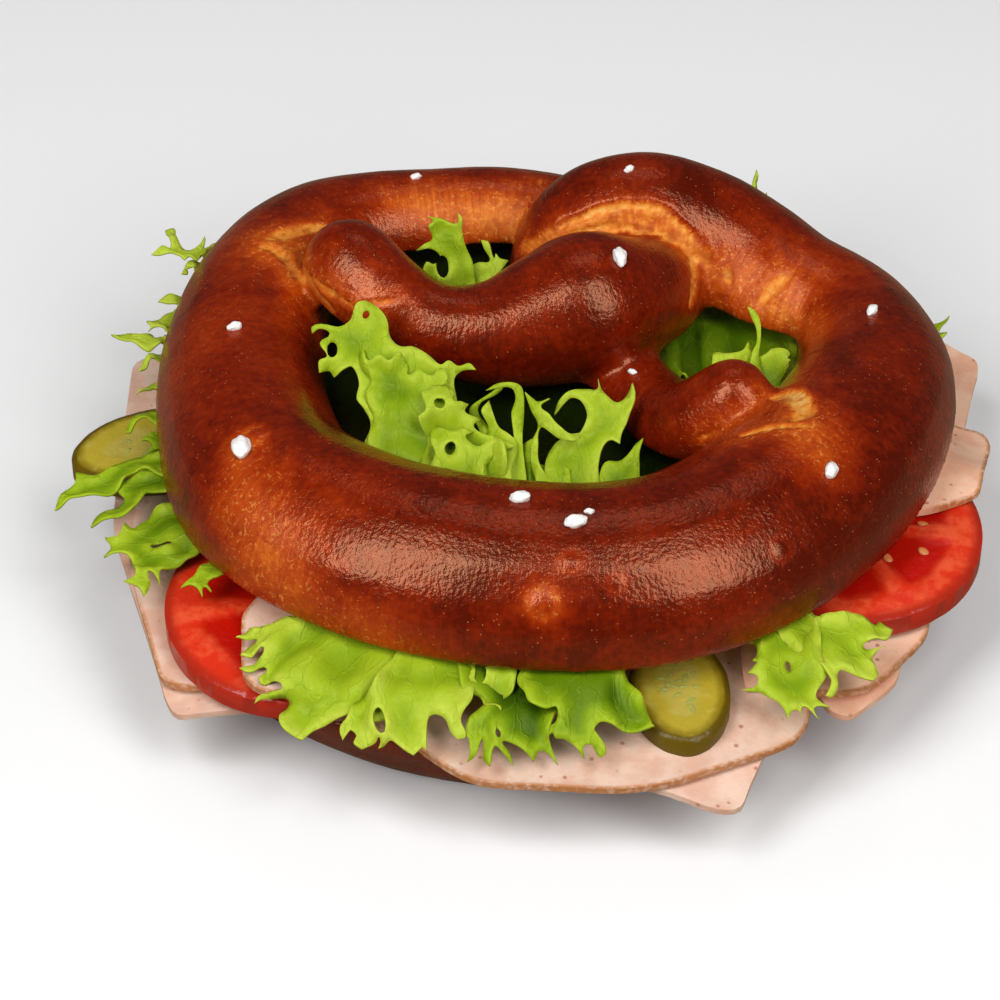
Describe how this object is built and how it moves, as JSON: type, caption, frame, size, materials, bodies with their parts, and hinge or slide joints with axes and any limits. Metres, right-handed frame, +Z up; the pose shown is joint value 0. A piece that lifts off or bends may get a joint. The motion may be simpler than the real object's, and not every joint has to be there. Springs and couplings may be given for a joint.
{
  "type": "pretzel sandwich",
  "caption": "Soft pretzel cut level and filled with cold cuts, tomato, gherkin and frilly lettuce, to stand or lie on a counter, tray or plate as food.",
  "frame": {"origin": "middle of the box in plan, on the surface that the lower half stands on", "axes": "+X is the pretzel's width, with the filled tomato side to both ends; +Y is away from the belly of the pretzel, towards its two ears; +Z is up"},
  "size_m": [0.2002, 0.1813, 0.064],
  "materials": {
    "crust": "deep red-brown lye crust with a soft shine, cream where it tore, and white salt",
    "ham": "moist pinkish beige cold cut with fine specks and a thin browned rim",
    "tomato": "wet red flesh and a glossy skin",
    "gherkin": "wet olive flesh with pale seeds and a dark rim",
    "lettuce": "crisp light green blade with fine veins, paler along the frilled margin"
  },
  "bodies": {
    "root": {"pretzel_top": "crust", "pretzel_base": "crust", "ham_left_lower": "ham", "ham_left_upper": "ham", "ham_front_lower": "ham", "ham_front_upper": "ham", "ham_right_lower": "ham", "ham_right_upper": "ham", "ham_back_lower": "ham", "ham_back_upper": "ham", "tomato_left": "tomato", "tomato_right": "tomato", "gherkin_front": "gherkin", "gherkin_left": "gherkin", "lettuce_front_left": "lettuce", "lettuce_front_right": "lettuce", "lettuce_right": "lettuce", "lettuce_left": "lettuce", "lettuce_back_left": "lettuce", "lettuce_ear_left": "lettuce", "lettuce_centre_left": "lettuce", "lettuce_centre_right": "lettuce", "lettuce_ear_right": "lettuce", "lettuce_back": "lettuce", "lettuce_right_back": "lettuce"}
  },
  "joints": []
}
